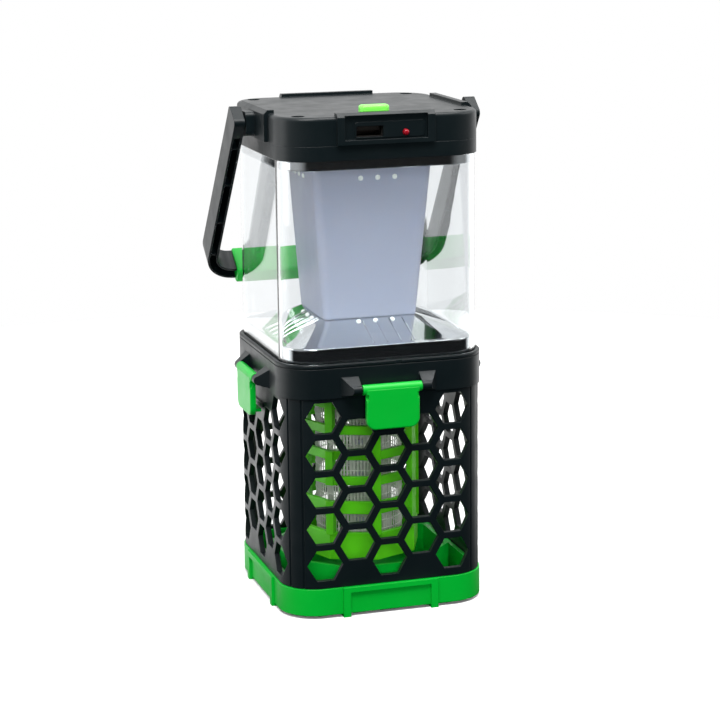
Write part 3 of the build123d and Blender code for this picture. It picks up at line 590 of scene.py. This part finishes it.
@dataclass
class KillingChamber:
    """Electrode grids round the violet lamp board: close upright wires bound by thin hoops."""

    outer_radius: float = 21.0
    outer_wires: int = 80
    outer_hoops: int = 20
    inner_radius: float = 15.5
    inner_wires: int = 56
    inner_hoops: int = 6
    wire: float = 0.3
    hoop_wire: float = 0.24
    low: float = 22.0
    high: float = 108.0
    around: int = 6

    def uprights(self, radius: float, count: int) -> np.ndarray:
        """Upright wires spaced evenly round a circle, each a thin prism."""
        v = np.linspace(0, FULL_TURN, self.around, endpoint=False)
        spots = np.arange(count) * FULL_TURN / count
        x = radius * np.cos(spots)[:, None] + self.wire * np.cos(v)
        y = radius * np.sin(spots)[:, None] + self.wire * np.sin(v)
        ends = np.array([self.low, (self.low + self.high) / 2, self.high])
        shape = (count, len(ends), self.around)
        return np.stack([np.broadcast_to(x[:, None], shape), np.broadcast_to(y[:, None], shape),
                         np.broadcast_to(ends[None, :, None], shape)], 3)

    def hoops(self, radius: float, count: int) -> np.ndarray:
        """Thin hoops stacked evenly: (R + w cos v) turned through u, lifted by w sin v."""
        u = np.linspace(0, -FULL_TURN, 61)
        v = np.linspace(0, FULL_TURN, self.around, endpoint=False)
        heights = np.linspace(self.low + 2, self.high - 2, count)
        reach = radius + self.wire + self.hoop_wire * np.cos(v)
        x, y = np.cos(u)[:, None] * reach, np.sin(u)[:, None] * reach
        z = heights[:, None, None] + self.hoop_wire * np.sin(v)
        shape = (count,) + x.shape
        return np.stack([np.broadcast_to(x, shape), np.broadcast_to(y, shape), np.broadcast_to(z, shape)], 3)

    def grid(self, name: str, radius: float, wires: int, hoops: int, node: str) -> bpy.types.Object:
        """One round electrode grid of upright wires and hoops."""
        rods, rings = self.uprights(radius, wires), self.hoops(radius, hoops)
        points = np.concatenate([rods.reshape(-1, 3), rings.reshape(-1, 3)])
        quads = np.concatenate([tube_quads(rods), tube_quads(rings) + rods.size // 3])
        piece = mesh_object(name, points, quads, Finish.WIRE)
        return ride(piece, "head", "steel", node)

    def build(self) -> None:
        """Build both grids."""
        self.grid("outer_wire_grid", self.outer_radius, self.outer_wires, self.outer_hoops, "outer_grid")
        self.grid("inner_wire_grid", self.inner_radius, self.inner_wires, self.inner_hoops, "inner_grid")


@dataclass
class Bail:
    """Grip sleeve of the bail handle."""

    pivot_height: float = 232.4
    tilt: float = 37.0
    reach: float = 101.0
    bar: float = 6.4
    half_depth: float = 6.5
    front: float = 9.0
    cover: float = 1.2
    half_length: float = 47.0
    edge: float = 0.8
    roundness: float = 0.22

    def grip(self) -> bpy.types.Object:
        """Grip: a rounded rectangle, sign(cos) |cos|^p by sign(sin) |sin|^p, carried along the bar."""
        low, high = -self.reach - self.cover, -self.reach + self.bar + self.cover
        back, front = -self.half_depth - self.cover, self.front
        centre_s, centre_n = (low + high) / 2, (back + front) / 2
        half_s, half_n = (high - low) / 2, (front - back) / 2
        turn = np.linspace(0, FULL_TURN, 48, endpoint=False)
        power, edge = self.roundness, self.edge
        round_s = np.sign(np.cos(turn)) * np.abs(np.cos(turn)) ** power
        round_n = np.sign(np.sin(turn)) * np.abs(np.sin(turn)) ** power
        bend = np.linspace(0, math.pi / 2, 5)
        ends, inset = self.half_length - edge * (1 - np.cos(bend)), edge * (1 - np.sin(bend))
        middle = np.linspace(-self.half_length + 2 * edge, self.half_length - 2 * edge, 121)
        stations = np.concatenate([-ends, middle, ends[::-1]])
        shrink = np.concatenate([inset, np.zeros_like(middle), inset[::-1]])
        s = centre_s + round_s[None] * (half_s - shrink)[:, None]
        n = centre_n + round_n[None] * (half_n - shrink)[:, None]
        x = np.broadcast_to(stations[:, None], s.shape)
        points = self.placed(x, s, n)
        rows, columns = s.shape
        quads = grid_quads(rows, columns, False, True)
        tips = np.full((2, 1), 1.0)
        centres = self.placed(stations[[0, -1]][:, None], centre_s * tips, centre_n * tips)
        flat = np.concatenate([points.reshape(-1, 3), centres.reshape(-1, 3)])
        ring = np.arange(0, columns, 2)
        first, last = rows * columns, rows * columns + 1
        nxt, nxt2 = (ring + 1) % columns, (ring + 2) % columns
        start = np.stack([nxt2, nxt, ring, np.full_like(ring, first)], 1)
        offset = (rows - 1) * columns
        end = np.stack([ring + offset, nxt + offset, nxt2 + offset, np.full_like(ring, last)], 1)
        piece = mesh_object("grip_sleeve", flat, np.concatenate([quads, start, end]), Finish.GREEN)
        return ride(piece, "bail", "green", "grip")

    def placed(self, x: np.ndarray, s: np.ndarray, n: np.ndarray) -> np.ndarray:
        """Turn bar coordinates (along X, up the arms, out of the open side) into the lantern's."""
        lean = math.radians(self.tilt)
        y = -s * math.sin(lean) - n * math.cos(lean)
        z = self.pivot_height + s * math.cos(lean) - n * math.sin(lean)
        return np.stack([x, y, z], 2)

    def build(self) -> None:
        """Build the grip."""
        self.grip()


@dataclass
class ChargeLight:
    """Round red charging light in the cap's front recess."""

    centre_x: float = 9.8
    centre_z: float = 230.5
    face: float = 49.5
    radius: float = 1.5
    length: float = 6.5

    def build(self) -> bpy.types.Object:
        """Lens: a round dome on a barrel, turned about the Y axis."""
        rise = np.linspace(0.01, math.pi / 2, 10)
        reach = np.concatenate([self.radius * np.sin(rise), [self.radius, self.radius, 0.01]])
        out = np.concatenate([-self.radius * np.cos(rise), [self.length * 0.5, self.length, self.length]])
        turn = np.linspace(0, FULL_TURN, 32, endpoint=False)
        x = self.centre_x + reach[:, None] * np.cos(turn)
        z = self.centre_z + reach[:, None] * np.sin(turn)
        y = np.broadcast_to(-self.face + out[:, None], x.shape)
        points = np.stack([x, y, z], 2)
        piece = mesh_object("charge_light_lens", points.reshape(-1, 3), grid_quads(*x.shape, False, True),
                            Finish.LENS_RED)
        return ride(piece, "head", "led_red", "charge_led")


# ------------------------------------------------------------------ studio

@dataclass
class Studio:
    """Plain pale floor, soft lights and the camera."""

    azimuth: float = 17.68
    elevation: float = 12.35
    distance: float = 1097.3
    target: tuple[float, float, float] = (14.76, -4.7, 116.1)
    roll: float = -0.51
    lens: float = 111.8
    sensor: float = 36.0
    shift: tuple[float, float] = (-0.0401, -0.0081)
    table: float = 700.0
    sky_base: float = 0.015
    sky_left: float = 0.5
    sky_right: float = 0.3
    sky_back: float = 1.08
    sky_top: float = 0.5

    def camera(self) -> None:
        """Camera: it looks along the azimuth from the lantern's front left, slightly down."""
        a, e = math.radians(self.azimuth), math.radians(self.elevation)
        back = Vector((-math.sin(a) * math.cos(e), -math.cos(a) * math.cos(e), math.sin(e)))
        right = (-back).cross(Vector((0, 0, 1))).normalized()
        up = right.cross(-back)
        roll = Matrix.Rotation(math.radians(self.roll), 3, back)
        right, up = roll @ right, roll @ up
        data = bpy.data.cameras.new("studio_camera")
        data.lens, data.sensor_width = self.lens, self.sensor
        data.shift_x, data.shift_y = self.shift
        data.clip_start, data.clip_end = 0.01, 50.0
        camera = bpy.data.objects.new("studio_camera", data)
        turn = Matrix((right, up, back)).transposed().to_4x4()
        camera.matrix_world = Matrix.Translation((Vector(self.target) + back * self.distance) * MM) @ turn
        bpy.context.scene.collection.objects.link(camera)
        bpy.context.scene.camera = camera

    def floor(self) -> None:
        """Floor: a round pale table top, which everything but the camera sees as dark in front."""
        turn = np.linspace(0, FULL_TURN, 97)
        reach = np.linspace(0.1, self.table, 12)[:, None]
        x, y = reach * np.cos(turn), reach * np.sin(turn)
        points = np.stack([x, y, np.zeros_like(x)], 2)
        material, tree = new_tree("paper_white_matt")
        place = add(tree, "TexCoord").outputs["Object"]
        tooth = add(tree, "TexNoise", {"Vector": place}, Scale=per_mm(1.5), Detail=3.0)
        relief = add(tree, "Bump", {"Height": tooth.outputs["Fac"]}, Strength=0.1, Distance=0.05 * MM)
        where = add(tree, "SeparateXYZ", {"Vector": place})
        front = add(tree, "MapRange", {"Value": where.outputs["Y"]})
        front.inputs["From Min"].default_value = 0.15
        front.inputs["From Max"].default_value = -0.05
        path = add(tree, "LightPath")
        unseen = add(tree, "Math", {1: path.outputs["Is Camera Ray"]}, operation="SUBTRACT")
        unseen.inputs[0].default_value = 1.0
        mirrored = add(tree, "Math", {0: front.outputs["Result"], 1: unseen.outputs["Value"]},
                       operation="MULTIPLY")
        colour = add(tree, "Mix", {"Factor": mirrored.outputs["Value"]}, data_type="RGBA")
        colour.inputs["A"].default_value = linear("#fafafa")
        colour.inputs["B"].default_value = linear("#0e0f10")
        shader = add(tree, "BsdfDiffuse",
                     {"Color": colour.outputs["Result"], "Normal": relief.outputs["Normal"]})
        add(tree, "OutputMaterial", {"Surface": shader.outputs["BSDF"]})
        quads = grid_quads(*x.shape, False, False)
        piece = mesh_object("studio_table", points.reshape(-1, 3), quads, Finish.WHITE)
        piece.data.materials[0] = material

    def light(self, name: str, place: tuple[float, float, float], size: tuple[float, float], power: float,
              mirrored: bool = True) -> None:
        """One rectangular softbox aimed at the lantern's middle.

        Args:
            name: the lamp's name.
            place: centre in millimetres.
            size: width and height in millimetres.
            power: watts.
            mirrored: whether glossy surfaces show it.
        """
        data = bpy.data.lights.new(name, "AREA")
        data.shape, data.size, data.size_y = "RECTANGLE", size[0] * MM, size[1] * MM
        data.energy = power
        lamp = bpy.data.objects.new(name, data)
        aim = Vector((0, 0, 130)) - Vector(place)
        turn = aim.to_track_quat("-Z", "Y").to_matrix().to_4x4()
        lamp.matrix_world = Matrix.Translation(Vector(place) * MM) @ turn
        lamp.visible_glossy = mirrored
        bpy.context.scene.collection.objects.link(lamp)

    def world(self) -> None:
        """Surroundings: white to look at, and as light a bright back and left with a dark front."""
        world = bpy.data.worlds.new("studio")
        world.use_nodes = True
        tree = world.node_tree
        tree.nodes.clear()
        way = add(tree, "SeparateXYZ", {"Vector": add(tree, "TexCoord").outputs["Generated"]})

        def glow(axis: str, start: float, end: float, level: float) -> bpy.types.NodeSocket:
            """Light that rises from nothing to its level along one axis of the sky."""
            node = add(tree, "MapRange", {"Value": way.outputs[axis]}, interpolation_type="SMOOTHSTEP")
            for name, value in (("From Min", start), ("From Max", end), ("To Max", level)):
                node.inputs[name].default_value = value
            return node.outputs["Result"]

        total = glow("Z", -2.0, -1.9, self.sky_base)
        for part in (glow("X", -0.3, -0.9, self.sky_left), glow("X", 0.3, 0.9, self.sky_right),
                     glow("Y", -0.1, 0.4, self.sky_back), glow("Z", 0.35, 0.9, self.sky_top)):
            total = add(tree, "Math", {0: total, 1: part}, operation="ADD").outputs["Value"]
        path = add(tree, "LightPath")
        level = add(tree, "Mix", {"Factor": path.outputs["Is Camera Ray"], "A": total}, data_type="FLOAT")
        level.inputs["B"].default_value = 1.0
        surround = add(tree, "Background", {"Strength": level.outputs["Result"]})
        surround.inputs["Color"].default_value = linear("#ffffff")
        add(tree, "OutputWorld", {"Surface": surround.outputs["Background"]})
        bpy.context.scene.world = world

    def build(self) -> None:
        """Set up the studio."""
        self.floor()
        self.camera()
        self.world()
        self.light("softbox_key", (-350, -650, 1250), (700, 500), 15.0)
        self.light("softbox_fill", (-250, -1300, 420), (600, 400), 8.5, mirrored=False)
        self.light("softbox_top", (300, -250, 1300), (900, 600), 11.0)
        self.light("softbox_left", (-1100, 150, 350), (500, 700), 2.0)
        self.light("softbox_right", (1000, -250, 700), (500, 600), 3.0)


def dress_frame() -> None:
    """Give every CAD node that stays visible its finish."""
    for finish, names in NODE_FINISHES.items():
        for name in names:
            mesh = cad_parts[name].data
            mesh.materials.clear()
            mesh.materials.append(finish.material())
        LOG.info("finish %s on %s", finish.value.name, ", ".join(names))


def main() -> None:
    """Build the lantern's pieces in order, then the studio."""
    bpy.context.scene.view_settings.view_transform = "Standard"
    dress_frame()
    LampHousing().build()
    KillingChamber().build()
    Bail().build()
    ChargeLight().build()
    Studio().build()


if __name__ == "__main__":
    main()
